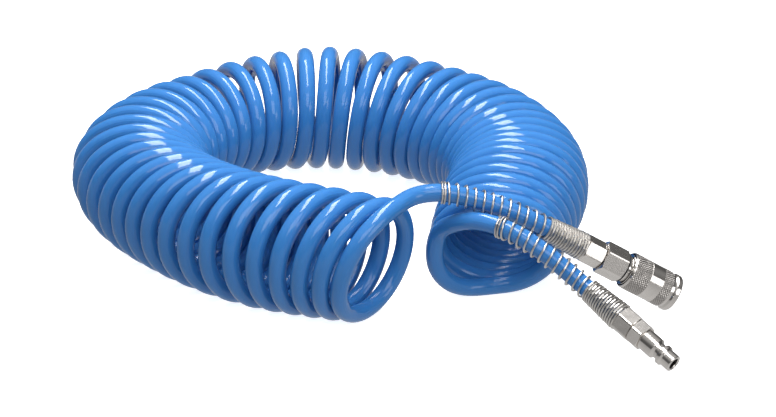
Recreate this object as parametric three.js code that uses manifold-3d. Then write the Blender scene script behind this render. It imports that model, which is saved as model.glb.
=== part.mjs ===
// A recoil air hose: a polyurethane spiral hose curled into an open ring, with a spring-guarded
// quick-release socket on one lead and a spring-guarded plug on the other. Millimetres, +Z up,
// origin under the middle of the bounding box, at the height of the surface that the coil lies on.
import * as THREE from "three";
import { mergeVertices } from "three/addons/utils/BufferGeometryUtils.js";
import Module from "manifold-3d";

const wasm = await Module();
wasm.setup();

const DEG = Math.PI / 180;
const GAP = 0.3; // clearance between pieces that touch on the real object

// --- Driving dimensions -----------------------------------------------------------------------

// Hose: 6.5 mm bore, 10 mm outside.
const HOSE_OUTER = 5;
const HOSE_BORE = 3.3;
const HOSE_SIDES = 10;

// Coil: its turns stand 74 mm high and 80 mm across.
const COIL_HALF_HEIGHT = 37.15;
const COIL_HALF_WIDTH = 40;
const COIL_SIDES = 16;
const COIL_STEPS = 30;

// Ring: from the plug end round to the socket end, counter-clockwise from above. Turns are counted
// from the far side. RING_BEND is in degrees each turn and RING_PITCH in millimetres each turn, at
// ten stations 5 1/3 turns apart.
const RING_START = { x: 60.3, y: -56.7, heading: 83.5 };
const RING_TURNS = { from: -22.5, to: 26.2 };
const RING_STATIONS = { from: -22, to: 26 };
const RING_BEND = [-3, 2.5, 6.5, 7, 7.5, 9, 9.5, 3, 5.5, -3];
const RING_PITCH = [11.1, 11.9, 14.5, 15.1, 14.1, 15.3, 18.3, 12.8, 13.2, 13.2];

// Fittings: the middle of the free end, and the way the axis points there.
const SOCKET = { tip: [158.8, -66.3, 9.4], heading: 10.4, tilt: -31.2, length: 60.5 };
const PLUG = { tip: [152.9, -155.7, 4.7], heading: -42.7, tilt: -23.8, length: 40 };

// Free leads: where each leaves its end of the coil, how high and how far to the right of the ring's
// centre line, and the points between there and the straight run into the fitting.
const SOCKET_LEAD = {
  height: 68,
  right: -4,
  points: [
    [15, -81.5, 73],
    [28, -78.5, 73.8],
    [44, -78.5, 71],
    [60, -79.3, 66.2],
  ],
};
const PLUG_LEAD = {
  height: 26,
  right: -32,
  points: [
    [26, -63.5, 35],
    [28.6, -67.5, 46.5],
    [36.5, -76.5, 55],
    [46, -84.5, 59.5],
    [57, -91, 60],
    [73, -99, 55.5],
    [89, -105.6, 45.8],
  ],
};
const LEAD_STEPS = 24;
const LEAD_GAP = 1.4; // between the coil's end faces and the leads
const LEAD_START = 4.4; // how far a lead then runs square to the coil's end face
const STRAIGHT_RUN = 30; // length of lead in line with its fitting
const TAIL_IN_NUT = 4; // how far the hose end goes past the nut's back face

// Guard springs, the same at both ends: an open part along the lead and a tight cone at the nut.
const GUARD_WIRE = 0.55;
const GUARD = { open: 62, tight: 26, openTurns: 12, endTurns: 2, tightTurns: 13 };
const GUARD_OPEN_RADIUS = 6.35;
const GUARD_NUT_RADIUS = 7.6;
const GUARD_SEGMENTS = 8; // in each turn
const CLOSED_PITCH = 2.6; // pitch of the closed turns at the open end, in wire radii

// From here on, lengths along a fitting are measured from the back face of its clamp nut.
// Hexagons, across the flats.
const CLAMP_NUT_AF = 14;
const SOCKET_HEX_AF = 17;
const HEX_CORNER_CUT = 0.1; // the turned blank is this much wider than the hexagon's corners
// spin is how far a hexagon is screwed round, in degrees.
const SOCKET_NUT = { length: 11.4, spin: 10 };
const SOCKET_HEX = { low: 11.7, high: 25.9, chamfer: 1.2, spin: 17 };
const PLUG_NUT = { length: 10.3, spin: 37 };
const PLUG_HEX = { low: 10.6, high: 18.1, chamfer: 1, spin: 41 };

// The barbed tail that the hose is pushed on, up to its shoulder in the nut.
const TAIL = [
  [2.2, -14],
  [2.8, -12.6],
  [2.8, 4.4],
  [5.8, 4.4],
];
const TAIL_BORE = 1.9;

// Rings and springs inside the socket.
const BODY_WASHER = { inner: 6.5, outer: 8.7, low: 26.2, high: 26.7 };
const PLUG_SEAL = { inner: 5.05, outer: 6.1, low: 37.4, high: 39.8 };
const VALVE_SEAL = { inner: 2.6, outer: 4.1, low: 29.9, high: 30.7 };
const SNAP_RING = { inner: 7.85, outer: 9.2, low: 57.2, high: 58 };
const VALVE_SPRING = { mean: 3.3, wire: 0.35, low: 16.3, high: 27.9, turns: 6 };
const SLEEVE_SPRING = { mean: 9, wire: 0.25, low: 31, high: 41, turns: 4 };
const SPRING_SEGMENTS = 12; // in each turn

// Valve: four ports through the head of the poppet.
const PORT = { count: 4, radius: 0.9, fromAxis: 3.35, station: 40.5, depth: 3 };

// Locking balls, and the holes in the front body that they sit in.
const BALL_COUNT = 6;
const BALL_RADIUS = 1.6;
const BALL_SEAT_RADIUS = 6.3;
const BALL_STATION = 48;
const BALL_PLAY = 0.25;
const BALL_HOLE = { middle: 7.5, depth: 6 };

// --- Materials --------------------------------------------------------------------------------

function material(color, roughness, metalness) {
  return new THREE.MeshStandardMaterial({ color, roughness, metalness });
}
const polyurethane = () => material(0x3f78c9, 0.25, 0);
const nickel = () => material(0xb9b4ab, 0.25, 1);
const springSteel = () => material(0xc4bfb6, 0.3, 1);
const steel = () => material(0x9b9a98, 0.35, 1);
const nitrile = () => material(0x1b1b1c, 0.7, 0);
const nylon = () => material(0x2b2b2d, 0.5, 0);

// --- Shape helpers ----------------------------------------------------------------------------

function vec(p) {
  return new THREE.Vector3(...p);
}

// A closed body turned about Y from [radius, height] points, listed up the outside and down the bore.
function turned(points, segments = 20) {
  const profile = points.map(([r, y]) => new THREE.Vector2(r, y));
  return new THREE.LatheGeometry([...profile, profile[0].clone()], segments);
}

// A hexagonal bar along Y, with a flat towards +X before it is spun.
function hexBar(acrossFlats, { low, high, spin }) {
  const corner = acrossFlats / Math.sqrt(3);
  const shape = new THREE.Shape();
  for (let i = 0; i < 6; i++) {
    const a = (i + 0.5) * 60 * DEG;
    const [x, y] = [corner * Math.cos(a), corner * Math.sin(a)];
    if (i === 0) shape.moveTo(x, y);
    else shape.lineTo(x, y);
  }
  shape.closePath();
  const bar = new THREE.ExtrudeGeometry(shape, { depth: high - low, bevelEnabled: false });
  return bar.rotateX(-90 * DEG).rotateY(spin * DEG).translate(0, low, 0);
}

function solid(geometry) {
  const bare = geometry.clone();
  bare.deleteAttribute("normal");
  bare.deleteAttribute("uv");
  const merged = mergeVertices(bare, 1e-3);
  return new wasm.Manifold(
    new wasm.Mesh({
      numProp: 3,
      vertProperties: new Float32Array(merged.attributes.position.array),
      triVerts: new Uint32Array(merged.index.array),
    }),
  );
}

function geometryOf(manifold) {
  const mesh = manifold.getMesh();
  return new THREE.BufferGeometry()
    .setAttribute("position", new THREE.BufferAttribute(mesh.vertProperties, 3))
    .setIndex(new THREE.BufferAttribute(mesh.triVerts, 1));
}

const group = new THREE.Group();

function piece(name, geometry, surface, parent = group) {
  geometry.computeVertexNormals();
  const mesh = new THREE.Mesh(geometry, surface);
  mesh.name = name;
  parent.add(mesh);
  return mesh;
}

// --- Paths ------------------------------------------------------------------------------------

// A value given at the ring's stations, at any turn between or beyond them.
function atTurn(values, turn) {
  const { from, to } = RING_STATIONS;
  const last = values.length - 1;
  const place = THREE.MathUtils.clamp(((turn - from) / (to - from)) * last, 0, last);
  const before = Math.min(Math.floor(place), last - 1);
  return THREE.MathUtils.lerp(values[before], values[before + 1], place - before);
}

// The ring's centre line, in plan, in short arcs. Returns the points and both end frames.
function ringLine() {
  const step = (RING_TURNS.to - RING_TURNS.from) / COIL_STEPS;
  let { x, y, heading } = RING_START;
  const points = [new THREE.Vector3(x, y, COIL_HALF_HEIGHT)];
  for (let i = 0; i < COIL_STEPS; i++) {
    const turn = RING_TURNS.from + (i + 0.5) * step;
    const bend = atTurn(RING_BEND, turn) * step;
    const stride = atTurn(RING_PITCH, turn) * step;
    x += stride * Math.cos((heading + bend / 2) * DEG);
    y += stride * Math.sin((heading + bend / 2) * DEG);
    heading += bend;
    points.push(new THREE.Vector3(x, y, COIL_HALF_HEIGHT));
  }
  return { points, start: RING_START, end: { x, y, heading } };
}

function fittingFrame({ tip, heading, tilt, length }) {
  const axis = new THREE.Vector3(
    Math.cos(heading * DEG) * Math.cos(tilt * DEG),
    Math.sin(heading * DEG) * Math.cos(tilt * DEG),
    Math.sin(tilt * DEG),
  );
  return { axis, back: vec(tip).addScaledVector(axis, -length) };
}

// A lead's centre line: out of the coil's end face, along the free points, straight into the fitting.
// outward is 1 where the ring's line runs out of that face, and -1 where it runs in.
function leadCurve({ height, right, points }, coilEnd, outward, frame) {
  const [x, y] = [Math.cos(coilEnd.heading * DEG), Math.sin(coilEnd.heading * DEG)];
  const out = new THREE.Vector3(x, y, 0).multiplyScalar(outward);
  const face = new THREE.Vector3(coilEnd.x + y * right, coilEnd.y - x * right, height);
  const alongAxis = (distance) => frame.back.clone().addScaledVector(frame.axis, distance);
  return new THREE.CatmullRomCurve3(
    [
      face.clone().addScaledVector(out, LEAD_GAP),
      face.clone().addScaledVector(out, LEAD_START),
      ...points.map(vec),
      alongAxis(-STRAIGHT_RUN),
      alongAxis(-STRAIGHT_RUN / 2),
      alongAxis(0),
      alongAxis(TAIL_IN_NUT),
    ],
    false,
    "centripetal",
  );
}

// The corners of a regular outline, with a flat side each way along its axes.
function ring(radius, sides) {
  return Array.from({ length: sides }, (_, i) => {
    const a = ((i + 0.5) / sides) * 2 * Math.PI;
    return new THREE.Vector2(radius * Math.cos(a), radius * Math.sin(a));
  });
}

function hoseTube(curve) {
  const shape = new THREE.Shape(ring(HOSE_OUTER, HOSE_SIDES));
  shape.holes.push(new THREE.Path(ring(HOSE_BORE, HOSE_SIDES).reverse()));
  return new THREE.ExtrudeGeometry(shape, { steps: LEAD_STEPS, extrudePath: curve });
}

// A coil of wire round any axis curve: turnsAt(s) and radiusAt(s) give its shape at distance s.
class WireCurve extends THREE.Curve {
  constructor(axis, from, to, turnsAt, radiusAt) {
    super();
    Object.assign(this, { axis, from, to, turnsAt, radiusAt });
    this.arcLengthDivisions = 1500;
    this.axisLength = axis.getLength();
  }
  getPoint(t, target = new THREE.Vector3()) {
    const s = this.from + t * (this.to - this.from);
    const u = THREE.MathUtils.clamp(s / this.axisLength, 0, 1);
    const tangent = this.axis.getTangentAt(u);
    const side = new THREE.Vector3(-tangent.y, tangent.x, 0).normalize();
    const up = new THREE.Vector3().crossVectors(tangent, side);
    const angle = this.turnsAt(s - this.from) * 2 * Math.PI;
    const radius = this.radiusAt(s - this.from);
    return target
      .copy(this.axis.getPointAt(u))
      .addScaledVector(side, radius * Math.cos(angle))
      .addScaledVector(up, radius * Math.sin(angle));
  }
}

function wire(curve, radius, turns, segmentsPerTurn) {
  const steps = Math.round(turns * segmentsPerTurn);
  return new THREE.ExtrudeGeometry(new THREE.Shape(ring(radius, 4)), { steps, extrudePath: curve });
}

// --- Coil -------------------------------------------------------------------------------------

// The outer shape of the whole coil. Its lowest facet lies flat on the surface below.
function coilSolid(line) {
  const corner = Math.cos(Math.PI / COIL_SIDES);
  const section = ring(1, COIL_SIDES).map(
    (p) => new THREE.Vector2((p.x * COIL_HALF_HEIGHT) / corner, p.y * COIL_HALF_WIDTH),
  );
  const curve = new THREE.CatmullRomCurve3(line.points, false, "centripetal");
  return new THREE.ExtrudeGeometry(new THREE.Shape(section), {
    steps: COIL_STEPS,
    extrudePath: curve,
  });
}

// --- Guard springs ----------------------------------------------------------------------------

function guardSpring(curve) {
  const { open, tight, openTurns, endTurns, tightTurns } = GUARD;
  const closed = endTurns * CLOSED_PITCH * GUARD_WIRE;
  const end = curve.getLength() - TAIL_IN_NUT - GUARD_WIRE - GAP;
  const turnsAt = (s) => {
    if (s < closed) return (s / closed) * endTurns;
    if (s < open) return endTurns + ((s - closed) / (open - closed)) * openTurns;
    return endTurns + openTurns + ((s - open) / tight) * tightTurns;
  };
  const radiusAt = (s) =>
    GUARD_OPEN_RADIUS + Math.max(0, (s - open) / tight) * (GUARD_NUT_RADIUS - GUARD_OPEN_RADIUS);
  const turns = openTurns + endTurns + tightTurns;
  const path = new WireCurve(curve, end - open - tight, end, turnsAt, radiusAt);
  return wire(path, GUARD_WIRE, turns, GUARD_SEGMENTS);
}

// --- Turned and hexagonal pieces, built along local Y, towards the free end -------------------

function cornerRadius(acrossFlats) {
  return acrossFlats / Math.sqrt(3) + HEX_CORNER_CUT;
}

function clampNut({ length, spin }) {
  const [face, corner, bevel] = [6.9, cornerRadius(CLAMP_NUT_AF), 1];
  const blank = turned(
    [
      [face, 0],
      [corner, bevel],
      [corner, length - bevel],
      [face, length],
      [6.2, length],
      [6.2, 3.6],
      [5.5, 3.6],
      [5.5, 0],
    ],
    24,
  );
  const bar = hexBar(CLAMP_NUT_AF, { low: 0, high: length, spin });
  return geometryOf(solid(bar).intersect(solid(blank)));
}

// A plain rod on the axis, a little longer than asked for, so that it joins what it meets.
function rod(radius, low, high) {
  const [bottom, top] = [low - 0.01, high + 0.01];
  return solid(turned([[0, bottom], [radius, bottom], [radius, top], [0, top]], 12));
}

// A turned outline with flats milled on it between hex.low and hex.high.
function turnedWithHexagon(outline, acrossFlats, hex) {
  const heights = outline.map(([, y]) => y);
  const widest = acrossFlats / 2;
  const envelope = solid(hexBar(acrossFlats, hex))
    .add(rod(widest, Math.min(...heights), hex.low))
    .add(rod(widest, hex.high, Math.max(...heights)));
  return geometryOf(envelope.intersect(solid(turned(outline, 24))));
}

function socketRearBody() {
  const corner = cornerRadius(SOCKET_HEX_AF);
  const { low, high, chamfer } = SOCKET_HEX;
  const outline = [
    ...TAIL,
    [5.8, low],
    [8.2, low],
    [corner, low + chamfer],
    [corner, high - chamfer],
    [8.4, high],
    [6.5, high],
    [6.5, 15.5],
    [TAIL_BORE, 15.5],
    [TAIL_BORE, -14],
  ];
  return turnedWithHexagon(outline, SOCKET_HEX_AF, SOCKET_HEX);
}

function socketFrontBody() {
  const body = solid(
    turned([
      [6.1, 16.5],
      [6.1, 27],
      [7.4, 27],
      [7.4, 28.6],
      [9.2, 28.6],
      [9.2, 30.3],
      [8.2, 30.3],
      [8.2, 57.1],
      [7.6, 57.1],
      [7.6, 58.2],
      [8.2, 58.2],
      [8.2, 60.5],
      [6.8, 60.5],
      [6.2, 59.9],
      [6.2, 42.5],
      [5.2, 42.5],
      [5.2, 40.2],
      [6.5, 40.2],
      [6.5, 37],
      [5.2, 37],
      [5.2, 33],
      [3.3, 33],
      [3.3, 31],
      [4.6, 31],
      [4.6, 16.5],
    ]),
  );
  let drilled = body;
  const holeRadius = BALL_RADIUS + BALL_PLAY;
  for (let i = 0; i < BALL_COUNT; i++) {
    const hole = new THREE.CylinderGeometry(holeRadius, holeRadius, BALL_HOLE.depth, 12);
    hole.rotateZ(-90 * DEG).translate(BALL_HOLE.middle, BALL_STATION, 0);
    hole.rotateY((i / BALL_COUNT) * 2 * Math.PI);
    drilled = drilled.subtract(solid(hole));
  }
  return geometryOf(drilled);
}

function socketSleeve() {
  return turned(
    [
      [10.2, 29.2],
      [10.75, 29.8],
      [10.75, 54.6],
      [10.2, 55],
      [10.2, 56.6],
      [10.75, 57.2],
      [10.75, 60.1],
      [10.3, 60.5],
      [9.6, 60.5],
      [9.6, 56.8],
      [8.5, 56.8],
      [8.5, 54.5],
      [9.6, 54.5],
      [9.6, 48.7],
      [8.5, 48.7],
      [8.5, 41.6],
      [9.6, 41.6],
      [9.6, 29.2],
    ],
    24,
  );
}

function valvePoppet() {
  const turnedPart = turned(
    [
      [0, 26.2],
      [1.8, 26.2],
      [1.8, 28.4],
      [4.2, 28.4],
      [4.2, 29.6],
      [2.2, 29.6],
      [2.2, 39.8],
      [4.5, 39.8],
      [4.5, 41.2],
      [0, 41.2],
    ],
    16,
  );
  let poppet = solid(turnedPart);
  for (let i = 0; i < PORT.count; i++) {
    const port = new THREE.CylinderGeometry(PORT.radius, PORT.radius, PORT.depth, 8);
    port.translate(PORT.fromAxis, PORT.station, 0);
    poppet = poppet.subtract(solid(port.rotateY((i / PORT.count) * 2 * Math.PI)));
  }
  return geometryOf(poppet);
}

function ringBody({ inner, outer, low, high }, segments = 16) {
  return turned([[outer, low], [outer, high], [inner, high], [inner, low]], segments);
}

// A compression spring along local Y.
function coilSpring({ mean, wire: wireRadius, low, high, turns }) {
  const axis = new THREE.LineCurve3(new THREE.Vector3(0, low, 0), new THREE.Vector3(0, high, 0));
  const length = high - low;
  const path = new WireCurve(axis, 0, length, (s) => (s / length) * turns, () => mean);
  return wire(path, wireRadius, turns, SPRING_SEGMENTS);
}

function plugNipple() {
  const corner = cornerRadius(CLAMP_NUT_AF);
  const { low, high, chamfer } = PLUG_HEX;
  const outline = [
    ...TAIL,
    [5.8, low],
    [6.9, low],
    [corner, low + chamfer],
    [corner, high - chamfer],
    [6.9, high],
    [6, high],
    [6, 26.9],
    [4.5, 28],
    [4.5, 30.4],
    [5.9, 31.4],
    [5.9, 33.4],
    [4.95, 34.1],
    [4.95, 39.5],
    [4.5, 40],
    [3.6, 40],
    [3.2, 39.5],
    [3.2, 12],
    [TAIL_BORE, 10.5],
    [TAIL_BORE, -14],
  ];
  return turnedWithHexagon(outline, CLAMP_NUT_AF, PLUG_HEX);
}

// A group that stands on a fitting's own frame: +Y along its axis from the back of its nut.
function placed(frame) {
  const holder = new THREE.Group();
  holder.position.copy(frame.back);
  holder.quaternion.setFromUnitVectors(new THREE.Vector3(0, 1, 0), frame.axis);
  group.add(holder);
  return holder;
}

// --- Assembly ---------------------------------------------------------------------------------

const line = ringLine();
const socketFrame = fittingFrame(SOCKET);
const plugFrame = fittingFrame(PLUG);
const socketLead = leadCurve(SOCKET_LEAD, line.end, 1, socketFrame);
const plugLead = leadCurve(PLUG_LEAD, line.start, -1, plugFrame);

piece("hose_coil", coilSolid(line), polyurethane());
piece("hose_lead_socket_end", hoseTube(socketLead), polyurethane());
piece("hose_lead_plug_end", hoseTube(plugLead), polyurethane());
piece("socket_guard_spring", guardSpring(socketLead), springSteel());
piece("plug_guard_spring", guardSpring(plugLead), springSteel());

const socket = placed(socketFrame);
piece("socket_clamp_nut", clampNut(SOCKET_NUT), nickel(), socket);
piece("socket_rear_body", socketRearBody(), nickel(), socket);
piece("socket_body_washer", ringBody(BODY_WASHER), nylon(), socket);
piece("socket_front_body", socketFrontBody(), nickel(), socket);
piece("socket_plug_seal", ringBody(PLUG_SEAL), nitrile(), socket);
piece("socket_valve_poppet", valvePoppet(), nickel(), socket);
piece("socket_valve_seal", ringBody(VALVE_SEAL), nitrile(), socket);
piece("socket_valve_spring", coilSpring(VALVE_SPRING), steel(), socket);
for (let i = 0; i < BALL_COUNT; i++) {
  const around = new THREE.Group();
  around.rotation.y = (i / BALL_COUNT) * 2 * Math.PI;
  socket.add(around);
  const sphere = new THREE.SphereGeometry(BALL_RADIUS, 10, 7);
  const ball = piece(`locking_ball_${i + 1}`, sphere, steel(), around);
  ball.position.set(BALL_SEAT_RADIUS, BALL_STATION, 0);
}
piece("socket_sleeve", socketSleeve(), nickel(), socket);
piece("sleeve_spring", coilSpring(SLEEVE_SPRING), steel(), socket);
piece("sleeve_snap_ring", ringBody(SNAP_RING, 20), steel(), socket);

const plug = placed(plugFrame);
piece("plug_clamp_nut", clampNut(PLUG_NUT), nickel(), plug);
piece("plug_nipple", plugNipple(), nickel(), plug);

// The origin: under the middle of the whole object.
group.updateMatrixWorld(true);
const box = new THREE.Box3().setFromObject(group, true);
group.position.set(-(box.min.x + box.max.x) / 2, -(box.min.y + box.max.y) / 2, 0);

export default group;
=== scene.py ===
"""A recoil air hose: one spiral hose, two guard springs, a quick-release socket and a plug.

Lengths are in millimetres until they reach a mesh, which is in metres (MM). The hose's route is
laid out from a point SHIFT away from the part's own origin. A fitting's pieces are built in its
own frame: +Y runs along its axis, from the back of its clamp nut to its free end.
"""
import math

import bpy
import numpy as np
from mathutils import Matrix, Vector


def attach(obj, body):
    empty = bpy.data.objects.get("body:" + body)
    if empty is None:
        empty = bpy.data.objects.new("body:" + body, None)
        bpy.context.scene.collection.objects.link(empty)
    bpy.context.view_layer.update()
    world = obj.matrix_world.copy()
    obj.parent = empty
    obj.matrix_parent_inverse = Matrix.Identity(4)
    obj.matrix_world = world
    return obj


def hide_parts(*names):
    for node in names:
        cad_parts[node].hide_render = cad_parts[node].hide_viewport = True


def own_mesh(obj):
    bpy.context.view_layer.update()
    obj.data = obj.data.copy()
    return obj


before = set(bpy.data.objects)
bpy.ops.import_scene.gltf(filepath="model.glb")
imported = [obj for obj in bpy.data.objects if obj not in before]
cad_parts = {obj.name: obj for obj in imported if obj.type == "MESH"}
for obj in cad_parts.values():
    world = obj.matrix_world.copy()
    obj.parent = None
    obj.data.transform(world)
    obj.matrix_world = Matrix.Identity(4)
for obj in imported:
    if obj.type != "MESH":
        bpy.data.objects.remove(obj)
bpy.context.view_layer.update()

MM = 0.001
SHIFT = np.array([10.496, -25.543, 0.0])
ROOT = "hose_with_fittings"

# --- Camera -------------------------------------------------------------------------------------

CAMERA_ELEVATION = 20.6
CAMERA_DISTANCE = 1976
CAMERA_TARGET = SHIFT + [0, 0, 35]


def make_camera():
    tilt = math.radians(CAMERA_ELEVATION)
    away = np.array([0, -math.cos(tilt), math.sin(tilt)])
    data = bpy.data.cameras.new("camera")
    data.sensor_width = 36
    data.lens = 159.77
    camera = bpy.data.objects.new("camera", data)
    camera.location = Vector((CAMERA_TARGET + away * CAMERA_DISTANCE) * MM)
    camera.rotation_euler = (math.radians(90 - CAMERA_ELEVATION), 0, 0)
    bpy.context.scene.collection.objects.link(camera)
    bpy.context.scene.camera = camera


make_camera()

# --- Route of the hose --------------------------------------------------------------------------

HOSE_RADIUS = 5

# Where each fitting's free end is, which way its axis points, and how long it is.
SOCKET = dict(tip=(158.8, -66.3, 9.4), heading=10.4, tilt=-31.2, length=60.5)
PLUG = dict(tip=(152.9, -155.7, 4.7), heading=-42.7, tilt=-23.8, length=40)
TAIL_IN_NUT = 4
STRAIGHT = (30, 15)  # the hose runs straight this far behind each nut
HOSE_STEP = 3
FINE_STEP = 0.5  # of the spline, before it is cut into even steps

# The coil, at ten stations from the plug end round to the socket end, 5 1/3 turns apart.
FIRST_TURN, LAST_TURN = -22, 26
RING_START = (61, -51.2)
START_HEADING = 82
BEND = (-3, 2.5, 6.5, 7, 7.5, 9, 9.5, 3, 5.5, -3)  # degrees that the ring turns, each turn
PITCH = (11.1, 11.9, 14.5, 15.1, 14.1, 15.3, 18.3, 12.8, 13.2, 13.2)
LEAN = (-24, -10, -10, -10, -2, -3, -4, 5, -3, 17)  # degrees that a turn's top leads its foot
SKEW = (7, 9, 10, 9, 4, -1, -10, -16, -13, -17)  # degrees that a turn is swung round
HALF_WIDTH = (33.5, 37, 36.5, 35, 33, 34, 37, 34, 31.5, 31)
HALF_HEIGHT = (32, 33, 31.5, 31.5, 33, 28.5, 30, 32, 32.5, 33)
STEPS_PER_TURN = 48

# The turns between these two belong to the coil, and the leads' points take over there.
COIL_FROM, COIL_TO = -22.5, 25.5
POINTS_PER_TURN = 16

PLUG_LEAD = [
    (38, -53, 9),
    (27.5, -60, 22),
    (26, -63.5, 35),
    (28.6, -67.5, 46.5),
    (36.5, -76.5, 55),
    (46, -84.5, 59.5),
    (57, -91, 60),
    (73, -99, 55.5),
    (89, -105.6, 45.8),
]
SOCKET_LEAD = [
    (-25.3, -100.6, 14.3),
    (-25, -111, 36.7),
    (-12.5, -108, 59.8),
    (5, -91, 70.8),
    (15, -81.5, 73),
    (28, -78.5, 73.8),
    (44, -78.5, 71),
    (60, -79.3, 66.2),
]


def fitting_axis(fitting):
    heading, tilt = math.radians(fitting["heading"]), math.radians(fitting["tilt"])
    level = math.cos(tilt)
    return np.array([math.cos(heading) * level, math.sin(heading) * level, math.sin(tilt)])


def fitting_back(fitting):
    return SHIFT + fitting["tip"] - fitting_axis(fitting) * fitting["length"]


def at_turn(values, turn):
    stations = np.linspace(FIRST_TURN, LAST_TURN, len(values))
    return np.interp(turn, stations, values)


def coil_points():
    """Walks the ring's centre line turn by turn, and sets each point of the hose out round it."""
    turns = np.arange(FIRST_TURN - 1, LAST_TURN, 1 / STEPS_PER_TURN)
    heading = np.cumsum(np.radians(at_turn(BEND, turns))) / STEPS_PER_TURN
    stride = at_turn(PITCH, turns) / STEPS_PER_TURN
    start = np.searchsorted(turns, FIRST_TURN - 1e-6)
    heading += math.radians(START_HEADING) - heading[start]
    x = np.cumsum(np.cos(heading) * stride)
    y = np.cumsum(np.sin(heading) * stride)
    x += RING_START[0] - x[start]
    y += RING_START[1] - y[start]

    facing = heading + np.radians(at_turn(SKEW, turns))
    lean = np.radians(at_turn(LEAN, turns))
    half_height = at_turn(HALF_HEIGHT, turns)
    around = 2 * math.pi * turns + math.pi / 2
    outward = at_turn(HALF_WIDTH, turns) * np.cos(around)
    up = half_height * np.sin(around)
    along = up * np.sin(lean)
    x += outward * np.sin(facing) + along * np.cos(facing)
    y += along * np.sin(facing) - outward * np.cos(facing)
    z = HOSE_RADIUS + (half_height + up) * np.cos(lean)

    used = (turns > COIL_FROM - 1e-6) & (turns < COIL_TO + 1e-6)
    every = STEPS_PER_TURN // POINTS_PER_TURN
    return list(np.stack([x, y, z], axis=1)[used][::every] + SHIFT)


def straight_run(fitting):
    back, axis = fitting_back(fitting), fitting_axis(fitting)
    return [back - away * axis for away in (*STRAIGHT, 0, -TAIL_IN_NUT)]


def curvatures(points, gaps):
    """Second derivatives of the natural cubic spline at its points."""
    count = len(points)
    left = np.eye(count)
    right = np.zeros((count, 3))
    slopes = np.diff(points, axis=0) / gaps[:, None]
    for i in range(1, count - 1):
        left[i, i - 1 : i + 2] = gaps[i - 1], 2 * (gaps[i - 1] + gaps[i]), gaps[i]
        right[i] = 6 * (slopes[i] - slopes[i - 1])
    return np.linalg.solve(left, right)


def spline(points, step):
    """A natural cubic spline through the points, cut into equal steps."""
    points = np.asarray(points, float)
    count = len(points)
    gaps = np.linalg.norm(np.diff(points, axis=0), axis=1)
    at = np.concatenate([[0], np.cumsum(gaps)])
    curvature = curvatures(points, gaps)

    s = np.linspace(0, at[-1], int(at[-1] / FINE_STEP))
    i = np.clip(np.searchsorted(at, s) - 1, 0, count - 2)
    h = gaps[i][:, None]
    a = (at[i + 1] - s)[:, None] / h
    b = 1 - a
    bow = ((a**3 - a) * curvature[i] + (b**3 - b) * curvature[i + 1]) * h * h / 6
    fine = a * points[i] + b * points[i + 1] + bow
    along = distance_along(fine)
    even = np.linspace(0, along[-1], int(round(along[-1] / step)) + 1)
    return sampled(fine, along, even)


def distance_along(path):
    return np.concatenate([[0], np.cumsum(np.linalg.norm(np.diff(path, axis=0), axis=1))])


def sampled(values, along, where):
    return np.stack([np.interp(where, along, values[:, k]) for k in range(3)], axis=1)


def hose_route():
    plug_end = straight_run(PLUG)[::-1] + [SHIFT + p for p in PLUG_LEAD[::-1]]
    socket_end = [SHIFT + p for p in SOCKET_LEAD] + straight_run(SOCKET)
    return spline(plug_end + coil_points() + socket_end, HOSE_STEP)


route = hose_route()

# --- Mesh helpers -------------------------------------------------------------------------------

SHARP = math.radians(15)
WIRE_STEPS_PER_TURN = 24
WIRE_SIDES = 8


def make_object(name, verts, faces, material, matrix=None):
    mesh = bpy.data.meshes.new(name)
    mesh.from_pydata([tuple(v) for v in np.asarray(verts) * MM], [], faces)
    mesh.materials.append(material)
    mesh.shade_smooth()
    mesh.set_sharp_from_angle(angle=SHARP)
    mesh.update()
    obj = bpy.data.objects.new(name, mesh)
    if matrix is not None:
        obj.matrix_world = matrix
    bpy.context.scene.collection.objects.link(obj)
    return obj


def stands_for(obj, body, slot, *nodes):
    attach(obj, body)
    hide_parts(*nodes)
    return obj


def across_path(path):
    """Two unit vectors across the path at each point, which turn as little as they can along it."""
    tangents = np.gradient(path, axis=0)
    tangents /= np.linalg.norm(tangents, axis=1)[:, None]
    side = np.cross(tangents[0], [0.1, 0.2, 1])
    sides = np.empty_like(path)
    for i, tangent in enumerate(tangents):
        side = side - tangent * (side @ tangent)
        side /= np.linalg.norm(side)
        sides[i] = side
    return sides, np.cross(tangents, sides)


def lattice_faces(rows, columns, closed):
    """Quads of a grid whose columns wrap round, and whose rows do too where it is closed."""
    faces = []
    for i in range(rows if closed else rows - 1):
        for k in range(columns):
            row, next_row = i * columns, (i + 1) % rows * columns
            next_k = (k + 1) % columns
            faces.append((row + k, row + next_k, next_row + next_k, next_row + k))
    return faces


def tube(name, path, radius, sides, material, matrix=None):
    across, up = across_path(path)
    angles = np.arange(sides) * 2 * math.pi / sides
    cosines, sines = np.cos(angles)[None, :, None], np.sin(angles)[None, :, None]
    wheel = cosines * across[:, None] + sines * up[:, None]
    radii = np.broadcast_to(radius, len(path))[:, None, None]
    verts = (path[:, None] + radii * wheel).reshape(-1, 3)
    faces = lattice_faces(len(path), sides, closed=False)
    faces.append(tuple(range(sides))[::-1])
    faces.append(tuple(range((len(path) - 1) * sides, len(path) * sides)))
    return make_object(name, verts, faces, material, matrix)


def wound(axis_path, start, turns, radius, stretch):
    """A wire's points round a path, from start on: turns and radius are given along stretch."""
    along = distance_along(axis_path)
    across, up = across_path(axis_path)
    steps = int((turns[-1] - turns[0]) * WIRE_STEPS_PER_TURN)
    s = np.linspace(stretch[0], stretch[-1], steps)
    angle = 2 * math.pi * np.interp(s, stretch, turns)[:, None]
    r = np.interp(s, stretch, radius)[:, None]
    x, y = sampled(across, along, start + s), sampled(up, along, start + s)
    return sampled(axis_path, along, start + s) + r * np.cos(angle) * x + r * np.sin(angle) * y


# --- Turned pieces ------------------------------------------------------------------------------


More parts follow.
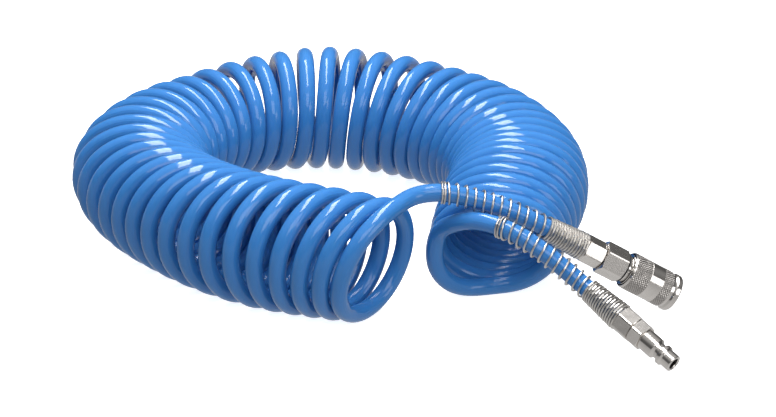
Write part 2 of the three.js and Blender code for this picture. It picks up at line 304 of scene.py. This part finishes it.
def fitting_matrix(fitting, spin=0):
    turn = Vector((0, 1, 0)).rotation_difference(Vector(fitting_axis(fitting)))
    place = Matrix.Translation(Vector(fitting_back(fitting) * MM))
    return place @ turn.to_matrix().to_4x4() @ Matrix.Rotation(math.radians(spin), 4, "Y")


def eased(points, radius=0.25):
    """A closed outline of (radius, height) points, with its corners rounded off."""
    points = np.asarray(points, float)
    out = []
    for before, corner, after in zip(np.roll(points, 1, 0), points, np.roll(points, -1, 0)):
        back, ahead = before - corner, after - corner
        lengths = np.linalg.norm(back), np.linalg.norm(ahead)
        reach = min(radius, 0.45 * min(lengths))
        if corner[0] < 1e-6:
            out.append(corner)
            continue
        enter = corner + back / lengths[0] * reach
        leave = corner + ahead / lengths[1] * reach
        for t in (0, 1 / 3, 2 / 3, 1):
            out.append((1 - t) ** 2 * enter + 2 * t * (1 - t) * corner + t * t * leave)
    return out


def spun(name, rows, material, matrix, columns=96):
    """A solid of revolution. A row is (radius, height), and each may be an array, one per column."""
    angles = np.arange(columns) * 2 * math.pi / columns
    verts = []
    for radius, height in rows:
        r, y = np.broadcast_to(radius, columns), np.broadcast_to(height, columns)
        verts.append(np.stack([r * np.cos(angles), y, -r * np.sin(angles)], axis=1))
    faces = lattice_faces(len(rows), columns, closed=True)
    return make_object(name, np.concatenate(verts), faces, material, matrix)


HEX_COLUMNS = 120
CORNER_KEPT = 0.985  # a hexagon's corners are a little worn down


def hex_rows(across_flats, low, high, face, slope=0.5):
    """Rows up the outside of a hexagon whose corners are turned off at both ends."""
    angles = np.arange(HEX_COLUMNS) * 360 / HEX_COLUMNS
    off_flat = np.radians((angles + 30) % 60 - 30)
    corner = across_flats / math.sqrt(3) * CORNER_KEPT
    radius = np.minimum(across_flats / 2 / np.cos(off_flat), corner)
    rise = np.maximum(radius - face, 0) * slope
    return [(np.minimum(radius, face), low), (radius, low + rise),
            (radius, high - rise), (np.minimum(radius, face), high)]


# --- Materials ----------------------------------------------------------------------------------

SLEEVE_RADIUS = 10.75
KNURL_DEPTH = 0.4
WARM_GREY = (0.66, 0.63, 0.6)
# painted shade: the colour the knurl's grooves are darkened to
GROOVE_PAINTED_SHADE = (0.13, 0.12, 0.115)
EVEN = (1, 1, 1)  # no way that the marks run


def new_material(name):
    material = bpy.data.materials.new(name)
    material.use_nodes = True
    nodes, links = material.node_tree.nodes, material.node_tree.links
    return material, nodes, links, nodes["Principled BSDF"]


def noise(nodes, links, scale, detail, stretch=EVEN):
    where = nodes.new("ShaderNodeTexCoord")
    fit = nodes.new("ShaderNodeMapping")
    fit.inputs["Scale"].default_value = stretch
    texture = nodes.new("ShaderNodeTexNoise")
    texture.inputs["Scale"].default_value = scale
    texture.inputs["Detail"].default_value = detail
    links.new(where.outputs["Object"], fit.inputs["Vector"])
    links.new(fit.outputs["Vector"], texture.inputs["Vector"])
    return texture.outputs["Fac"]


def ranged(nodes, links, value, low, high):
    reach = nodes.new("ShaderNodeMapRange")
    reach.inputs["From Min"].default_value = 0.3
    reach.inputs["From Max"].default_value = 0.7
    reach.inputs["To Min"].default_value = low
    reach.inputs["To Max"].default_value = high
    links.new(value, reach.inputs["Value"])
    return reach.outputs["Result"]


def bumped(nodes, links, shader, height, distance, strength=1.0):
    bump = nodes.new("ShaderNodeBump")
    bump.inputs["Distance"].default_value = distance
    bump.inputs["Strength"].default_value = strength
    links.new(height, bump.inputs["Height"])
    links.new(bump.outputs["Normal"], shader.inputs["Normal"])


def tinted(nodes, links, shader, factor, low, high):
    tint = nodes.new("ShaderNodeMix")
    tint.data_type = "RGBA"
    tint.inputs["A"].default_value = (*low, 1)
    tint.inputs["B"].default_value = (*high, 1)
    links.new(factor, tint.inputs["Factor"])
    links.new(tint.outputs["Result"], shader.inputs["Base Color"])


def polyurethane():
    """Glossy extruded hose: a faint cloudiness, and a skin that is not quite even."""
    material, nodes, links, shader = new_material("polyurethane_blue")
    shader.inputs["IOR"].default_value = 1.5
    shader.inputs["Specular IOR Level"].default_value = 0.38
    shader.inputs["Subsurface Weight"].default_value = 0.15
    shader.inputs["Subsurface Radius"].default_value = (0.2, 0.6, 1.0)
    shader.inputs["Subsurface Scale"].default_value = 0.002
    cloud = noise(nodes, links, 55, 3)
    tinted(nodes, links, shader, cloud, (0.034, 0.19, 0.5), (0.05, 0.212, 0.56))
    rough = ranged(nodes, links, noise(nodes, links, 300, 2), 0.06, 0.11)
    links.new(rough, shader.inputs["Roughness"])
    bumped(nodes, links, shader, noise(nodes, links, 110, 1), 0.00003)
    return material


def nickel(name, color, roughness, stretch, scale=900, depth=0.000003):
    """Nickel plate: stretch sets which way the tool marks run in the piece's own frame."""
    material, nodes, links, shader = new_material(name)
    shader.inputs["Metallic"].default_value = 1
    marks = noise(nodes, links, scale, 4, stretch)
    low, high = [tuple(c * k for c in color) for k in (0.93, 1.03)]
    tinted(nodes, links, shader, ranged(nodes, links, noise(nodes, links, 160, 3), 0, 1), low, high)
    rough = ranged(nodes, links, marks, roughness * 0.85, roughness * 1.3)
    links.new(rough, shader.inputs["Roughness"])
    bumped(nodes, links, shader, marks, depth)
    return material


def knurled():
    """Nickel with painted shade in the knurl: the base colour darkens towards the bottom of the
    grooves.
    """
    material = nickel("nickel_knurled", WARM_GREY, 0.34, EVEN, depth=0.000002)
    nodes, links = material.node_tree.nodes, material.node_tree.links
    shader = nodes["Principled BSDF"]
    where = nodes.new("ShaderNodeTexCoord")
    flat = nodes.new("ShaderNodeVectorMath")
    flat.operation = "MULTIPLY"
    flat.inputs[1].default_value = (1, 0, 1)
    radius = nodes.new("ShaderNodeVectorMath")
    radius.operation = "LENGTH"
    depth = nodes.new("ShaderNodeMapRange")
    depth.inputs["From Min"].default_value = (SLEEVE_RADIUS - KNURL_DEPTH) * MM
    depth.inputs["From Max"].default_value = (SLEEVE_RADIUS - KNURL_DEPTH * 0.3) * MM
    links.new(where.outputs["Object"], flat.inputs[0])
    links.new(flat.outputs["Vector"], radius.inputs[0])
    links.new(radius.outputs["Value"], depth.inputs["Value"])
    # painted shade: the deeper into a groove, the darker the base colour
    tinted(nodes, links, shader, depth.outputs["Result"], GROOVE_PAINTED_SHADE, WARM_GREY)
    return material


def plain(name, color, roughness, depth):
    material, nodes, links, shader = new_material(name)
    grain = noise(nodes, links, 1200, 3)
    tinted(nodes, links, shader, grain, tuple(c * 0.8 for c in color), color)
    links.new(ranged(nodes, links, grain, roughness, roughness * 1.2), shader.inputs["Roughness"])
    bumped(nodes, links, shader, grain, depth)
    return material


BLUE = polyurethane()
TURNED = nickel("nickel_turned", WARM_GREY, 0.14, (0.25, 3, 0.25), depth=0.000002)
MILLED = nickel("nickel_milled", WARM_GREY, 0.22, (2.5, 0.4, 2.5))
KNURLED = knurled()
WIRE = nickel("spring_wire", (0.62, 0.595, 0.565), 0.32, EVEN, depth=0.000001)
STEEL = nickel("plain_steel", (0.56, 0.56, 0.57), 0.2, EVEN)
NITRILE = plain("nitrile", (0.02, 0.02, 0.021), 0.55, 0.00002)
# painted shade: the nylon washer is near-black so that it reads as the shadowed gap between the hex
# and the sleeve
NYLON_PAINTED_SHADE = plain("nylon", (0.03, 0.03, 0.032), 0.45, 0.00001)

# --- Hose and guard springs ---------------------------------------------------------------------

hose = tube("spiral_hose", route, HOSE_RADIUS, 24, BLUE)
stands_for(hose, ROOT, "hose_blue", "hose_coil", "hose_lead_socket_end", "hose_lead_plug_end")

GUARD_WIRE = (0.62, 0.72)  # radius where the turns are open, and where they are tight
GUARD_OPEN, GUARD_TIGHT = 62, 25
GUARD_TURNS = (0, 2, 14, 28, 29)  # close at the start, open, tight, and the last tucked in
GUARD_RADIUS = (5.85, 5.95, 6.0, 7.5, 6.7)
GUARD_IN_NUT = 0.4
LEAD_POINTS = 60  # of the route, more than a guard is long


def guard_spring(name, node, lead):
    """lead runs from the coil to the hose's end in the nut."""
    length = GUARD_OPEN + GUARD_TIGHT
    start = distance_along(lead)[-1] - TAIL_IN_NUT + GUARD_IN_NUT - length
    stretch = [0, 3, GUARD_OPEN, length - 1.5, length]
    path = wound(lead, start, GUARD_TURNS, GUARD_RADIUS, stretch)
    along = np.linspace(0, length, len(path))
    wire = np.interp(along, [GUARD_OPEN - 6, GUARD_OPEN], GUARD_WIRE)
    return stands_for(tube(name, path, wire, WIRE_SIDES, WIRE), ROOT, "spring_wire", node)


socket_guard = guard_spring("socket_guard", "socket_guard_spring", route[-LEAD_POINTS:])
plug_guard = guard_spring("plug_guard", "plug_guard_spring", route[:LEAD_POINTS][::-1])

# --- Clamp nuts and hexagons --------------------------------------------------------------------

NUT_FLATS = 14
SOCKET_HEX_FLATS = 17
SOCKET_NUT_LENGTH, PLUG_NUT_LENGTH = 11.4, 10.3
SOCKET_HEX = (11.7, 25.9)  # from low to high along the fitting
PLUG_HEX = (10.6, 18)
SPIN = dict(socket_nut=10, socket_hex=17, plug_nut=37, plug_hex=41)  # degrees
PASSAGE = 1.9  # radius of the air's way through a tail
BARBS = 4
BARB_PITCH = 3


def clamp_nut(name, node, matrix, length):
    rows = hex_rows(NUT_FLATS, 0, length, 6.9)
    rows += [(6.2, length), (6.2, 3.6), (5.4, 3.6), (5.4, 0)]
    return stands_for(spun(name, rows, MILLED, matrix, HEX_COLUMNS), ROOT, "nickel", node)


def tail_rows():
    """Up the outside of the barbed tail that the hose is pushed on, to its shoulder in the nut."""
    rows = [(PASSAGE, -14), (2.2, -14)]
    for barb in range(BARBS):
        crest = -12.4 + BARB_PITCH * barb
        rows += [(2.95, crest), (2.5, crest + 0.1)]
    return rows + [(2.5, 4.4), (5.8, 4.4), (5.8, 9)]


def rear_body(matrix):
    low, high = SOCKET_HEX
    rows = tail_rows() + [(5.8, low), (7.4, low)]
    rows += hex_rows(SOCKET_HEX_FLATS, low, high, 8.3)
    rows += [(6.5, high), (6.5, 15.5), (PASSAGE, 15.5)]
    body = spun("socket_rear", rows, MILLED, matrix, HEX_COLUMNS)
    return stands_for(body, ROOT, "nickel", "socket_rear_body")


def nipple(matrix):
    low, high = PLUG_HEX
    rows = tail_rows() + [(5.8, low), (6.4, low)]
    rows += hex_rows(NUT_FLATS, low, high, 6.8)
    collar = [(6, high), (6, 26.9)]
    locking_groove = [(4.5, 28.4), (4.5, 30.4)]
    bead = [(5.9, 31.2), (5.9, 33.2)]
    tip = [(4.95, 34.2), (4.95, 39.6), (4.6, 40), (3.5, 40)]
    bore = [(3.2, 39.4), (3.2, 12)]
    rows += eased(collar + locking_groove + bead + tip + bore, 0.2)[1:-1]
    rows += [(PASSAGE, 10.5)]
    body = spun("plug_body", rows, TURNED, matrix, HEX_COLUMNS)
    return stands_for(body, ROOT, "nickel", "plug_nipple")


socket_nut_frame = fitting_matrix(SOCKET, SPIN["socket_nut"])
plug_nut_frame = fitting_matrix(PLUG, SPIN["plug_nut"])
clamp_nut("socket_nut", "socket_clamp_nut", socket_nut_frame, SOCKET_NUT_LENGTH)
plug_nut = clamp_nut("plug_nut", "plug_clamp_nut", plug_nut_frame, PLUG_NUT_LENGTH)
rear_body(fitting_matrix(SOCKET, SPIN["socket_hex"]))
plug_body = nipple(fitting_matrix(PLUG, SPIN["plug_hex"]))

# --- Socket -------------------------------------------------------------------------------------

socket_frame = fitting_matrix(SOCKET)
KNURL_TEETH = 42
KNURL_CUTS = 6  # mesh columns, and rows, to a tooth
KNURL_COLUMNS = KNURL_TEETH * KNURL_CUTS
KNURL_PITCH = 1.6
REAR_KNURL, FRONT_KNURL = (30.4, 40.4), (48.9, 54.4)
BAND = (40.6, 48.7)  # plain band between the two knurls
BALLS = 6
BALL_RADIUS = 1.6


def knurl_rows(low, high):
    """Pyramids between two crossing sets of grooves."""
    angle = np.arange(KNURL_COLUMNS) / KNURL_CUTS
    count = int((high - low) / KNURL_PITCH * KNURL_CUTS)
    rows = []
    for y in np.linspace(low, high, count):
        rise = (y - low) / KNURL_PITCH
        peaks = [np.abs((angle + way * rise) % 1 - 0.5) * 2 for way in (1, -1)]
        rows.append((SLEEVE_RADIUS - KNURL_DEPTH * (1 - np.minimum(*peaks)), y))
    return rows


def sleeve():
    smooth = SLEEVE_RADIUS - 0.15
    rear_edge = [(9.8, 29.2), (10.0, 29.2), (10.5, 29.9), (10.5, 30.1)]
    front_groove = [(10.4, 54.6), (9.7, 55), (9.7, 56.5), (10.4, 57.1), (10.7, 57.5)]
    mouth_rim = [(SLEEVE_RADIUS, 58), (SLEEVE_RADIUS, 59.6), (10.6, 60.1), (10.3, 60.5)]
    snap_ring_seat = [(9.6, 60.5), (9.6, 56.8), (8.5, 56.8), (8.5, 54.5)]
    ball_relief = [(9.6, 54.5), (9.6, 48.7), (8.5, 48.7)]
    spring_room = [(8.5, 41.6), (9.8, 41.6)]
    rows = rear_edge + knurl_rows(*REAR_KNURL)
    rows += [(smooth, BAND[0]), (smooth, BAND[1])]
    rows += knurl_rows(*FRONT_KNURL) + front_groove + mouth_rim
    rows += snap_ring_seat + ball_relief + spring_room
    body = spun("sleeve_grip", rows, KNURLED, socket_frame, KNURL_COLUMNS)
    polish(body.data)
    return stands_for(body, "sleeve", "nickel", "socket_sleeve")


def polish(mesh):
    """Everything on the sleeve that isn't knurled is turned and polished."""
    mesh.materials.append(TURNED)
    for face in mesh.polygons:
        height = face.center.y / MM
        knurled = REAR_KNURL[0] < height < BAND[0] or BAND[1] < height < FRONT_KNURL[1]
        outside = math.hypot(face.center.x, face.center.z) / MM > 10
        face.material_index = 0 if knurled and outside else 1


def front_body():
    neck = [(6.1, 16.5), (6.1, 27), (7.4, 27), (7.4, 28.6)]
    spring_step = [(9.2, 28.6), (9.2, 30.3), (8.2, 30.3)]
    snap_ring_groove = [(8.2, 57.1), (7.6, 57.1), (7.6, 58.2), (8.2, 58.2)]
    mouth = [(8.2, 60.5), (6.8, 60.5), (6.2, 59.8), (6.2, 42.5), (5.2, 42.5)]
    seal_groove = [(5.2, 40.2), (6.5, 40.2), (6.5, 37), (5.2, 37)]
    valve_seat = [(5.2, 33), (3.3, 33), (3.3, 31), (4.6, 31), (4.6, 16.5)]
    outline = neck + spring_step + snap_ring_groove + mouth + seal_groove + valve_seat
    body = spun("socket_front", eased(outline, 0.2), TURNED, socket_frame)
    return stands_for(body, ROOT, "nickel", "socket_front_body")


def poppet():
    spring_side = [(1.0, 26.2), (1.8, 26.2), (1.8, 28.4), (4.2, 28.4), (4.2, 29.6)]
    stem = [(2.2, 29.6), (2.2, 39.8)]
    head = [(4.5, 39.8), (4.5, 41.2), (2.6, 41.2), (2.2, 40.6)]
    centre_hole = [(0.4, 40.6), (0.4, 38), (1.0, 37)]
    outline = spring_side + stem + head + centre_hole
    body = spun("valve_poppet", eased(outline, 0.15), TURNED, socket_frame, 64)
    return stands_for(body, "valve", "nickel", "socket_valve_poppet")


def seal(name, node, body, inner, outer, low, high, material, slot):
    outline = [(outer, low), (outer, high), (inner, high), (inner, low)]
    ring = spun(name, eased(outline, (high - low) * 0.45), material, socket_frame, 64)
    return stands_for(ring, body, slot, node)


def lock_ball(index):
    """A ball in the front body's wall, which reaches into the bore."""
    turn = Matrix.Rotation(2 * math.pi * index / BALLS, 4, "Y")
    centre = Matrix.Translation(Vector((6.3, 48, 0)) * MM)
    heights = np.radians(np.linspace(-89, 89, 24))
    rows = [(BALL_RADIUS * math.cos(h), BALL_RADIUS * math.sin(h)) for h in heights]
    rows += [(0.02, 1.5), (0.02, -1.5)]
    ball = spun(f"lock_ball_{index + 1}", rows, STEEL, socket_frame @ turn @ centre, 32)
    return stands_for(ball, f"ball_{index + 1}", "steel", f"locking_ball_{index + 1}")


def inner_spring(name, node, mean, wire, low, high, turns):
    along_axis = np.array([(0, y, 0) for y in np.linspace(low, high, 40)])
    path = wound(along_axis, 0, [0, turns], [mean, mean], [0, high - low])
    spring = stands_for(tube(name, path, wire, WIRE_SIDES, STEEL, socket_frame), ROOT, "steel", node)
    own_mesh(spring)


sleeve()
front_body()
poppet()
seal("plug_seal", "socket_plug_seal", ROOT, 5.05, 6.1, 37.4, 39.8, NITRILE, "nitrile")
seal("valve_seal", "socket_valve_seal", "valve", 2.6, 4.1, 29.9, 30.7, NITRILE, "nitrile")
# painted shade: the washer's near-black colour stands for the shadow in the gap behind the sleeve
seal("body_washer", "socket_body_washer", ROOT, 6.5, 8.7, 26.2, 26.7, NYLON_PAINTED_SHADE, "nylon")
seal("snap_ring", "sleeve_snap_ring", ROOT, 7.85, 9.2, 57.2, 58, STEEL, "steel")
for index in range(BALLS):
    lock_ball(index)
inner_spring("sleeve_return", "sleeve_spring", 9.0, 0.25, 31, 41, 4)
inner_spring("valve_return", "socket_valve_spring", 3.3, 0.35, 16.3, 27.9, 6)

# --- Stage --------------------------------------------------------------------------------------

FLOOR_GLOW = 0.85
FLOOR_REACH = 30
SKY = ((0, 0.72), (0.5, 0.5), (0.54, 0.1), (0.72, 0.13), (0.88, 0.45), (1, 0.6))


def stage_plane(name, corners, color, roughness):
    mesh = bpy.data.meshes.new(name)
    mesh.from_pydata(corners, [], [(0, 1, 2, 3)])
    material, _, _, shader = new_material(name)
    shader.inputs["Base Color"].default_value = (*color, 1)
    shader.inputs["Roughness"].default_value = roughness
    shader.inputs["Emission Color"].default_value = (1, 1, 1, 1)
    shader.inputs["Emission Strength"].default_value = FLOOR_GLOW
    mesh.materials.append(material)
    plane = bpy.data.objects.new(name, mesh)
    plane.visible_diffuse = plane.visible_glossy = False
    bpy.context.scene.collection.objects.link(plane)


def area_light(name, place, target, size, power):
    data = bpy.data.lights.new(name, "AREA")
    data.shape = "RECTANGLE"
    data.size, data.size_y = size
    data.energy = power
    light = bpy.data.objects.new(name, data)
    light.location = place
    light.rotation_euler = (Vector(target) - Vector(place)).to_track_quat("-Z", "Y").to_euler()
    bpy.context.scene.collection.objects.link(light)


floor_signs = ((-1, -1), (1, -1), (1, 1), (-1, 1))
floor_corners = [(x * FLOOR_REACH, y * FLOOR_REACH, 0) for x, y in floor_signs]
stage_plane("floor", floor_corners, (0.9, 0.9, 0.9), 0.6)
area_light("overhead", (-0.1, 0.25, 1.8), (-0.06, 0.1, 0), (0.5, 2.2), 50)
area_light("front_fill", (0.2, -1.75, 1.45), (0, 0, 0.03), (1.6, 1.1), 16)
area_light("front_right", (1.6, -1.35, 0.52), (0.14, -0.1, 0.04), (1.0, 0.85), 8)


def studio_world():
    """Grey levels from straight down to straight up: dark just above the horizon, as a studio is."""
    world = bpy.data.worlds.new("studio")
    world.use_nodes = True
    nodes, links = world.node_tree.nodes, world.node_tree.links
    where = nodes.new("ShaderNodeTexCoord")
    split = nodes.new("ShaderNodeSeparateXYZ")
    ramp = nodes.new("ShaderNodeValToRGB")
    reach = nodes.new("ShaderNodeMapRange")
    reach.inputs["From Min"].default_value = -1
    links.new(where.outputs["Generated"], split.inputs["Vector"])
    links.new(split.outputs["Z"], reach.inputs["Value"])
    links.new(reach.outputs["Result"], ramp.inputs["Fac"])
    for _ in SKY[2:]:
        ramp.color_ramp.elements.new(0.5)
    for element, (place, grey) in zip(ramp.color_ramp.elements, SKY):
        element.position = place
        element.color = (grey, grey, grey, 1)
    links.new(ramp.outputs["Color"], nodes["Background"].inputs["Color"])
    nodes["Background"].inputs["Strength"].default_value = 1
    bpy.context.scene.world = world


studio_world()
bpy.context.scene.view_settings.view_transform = "Standard"
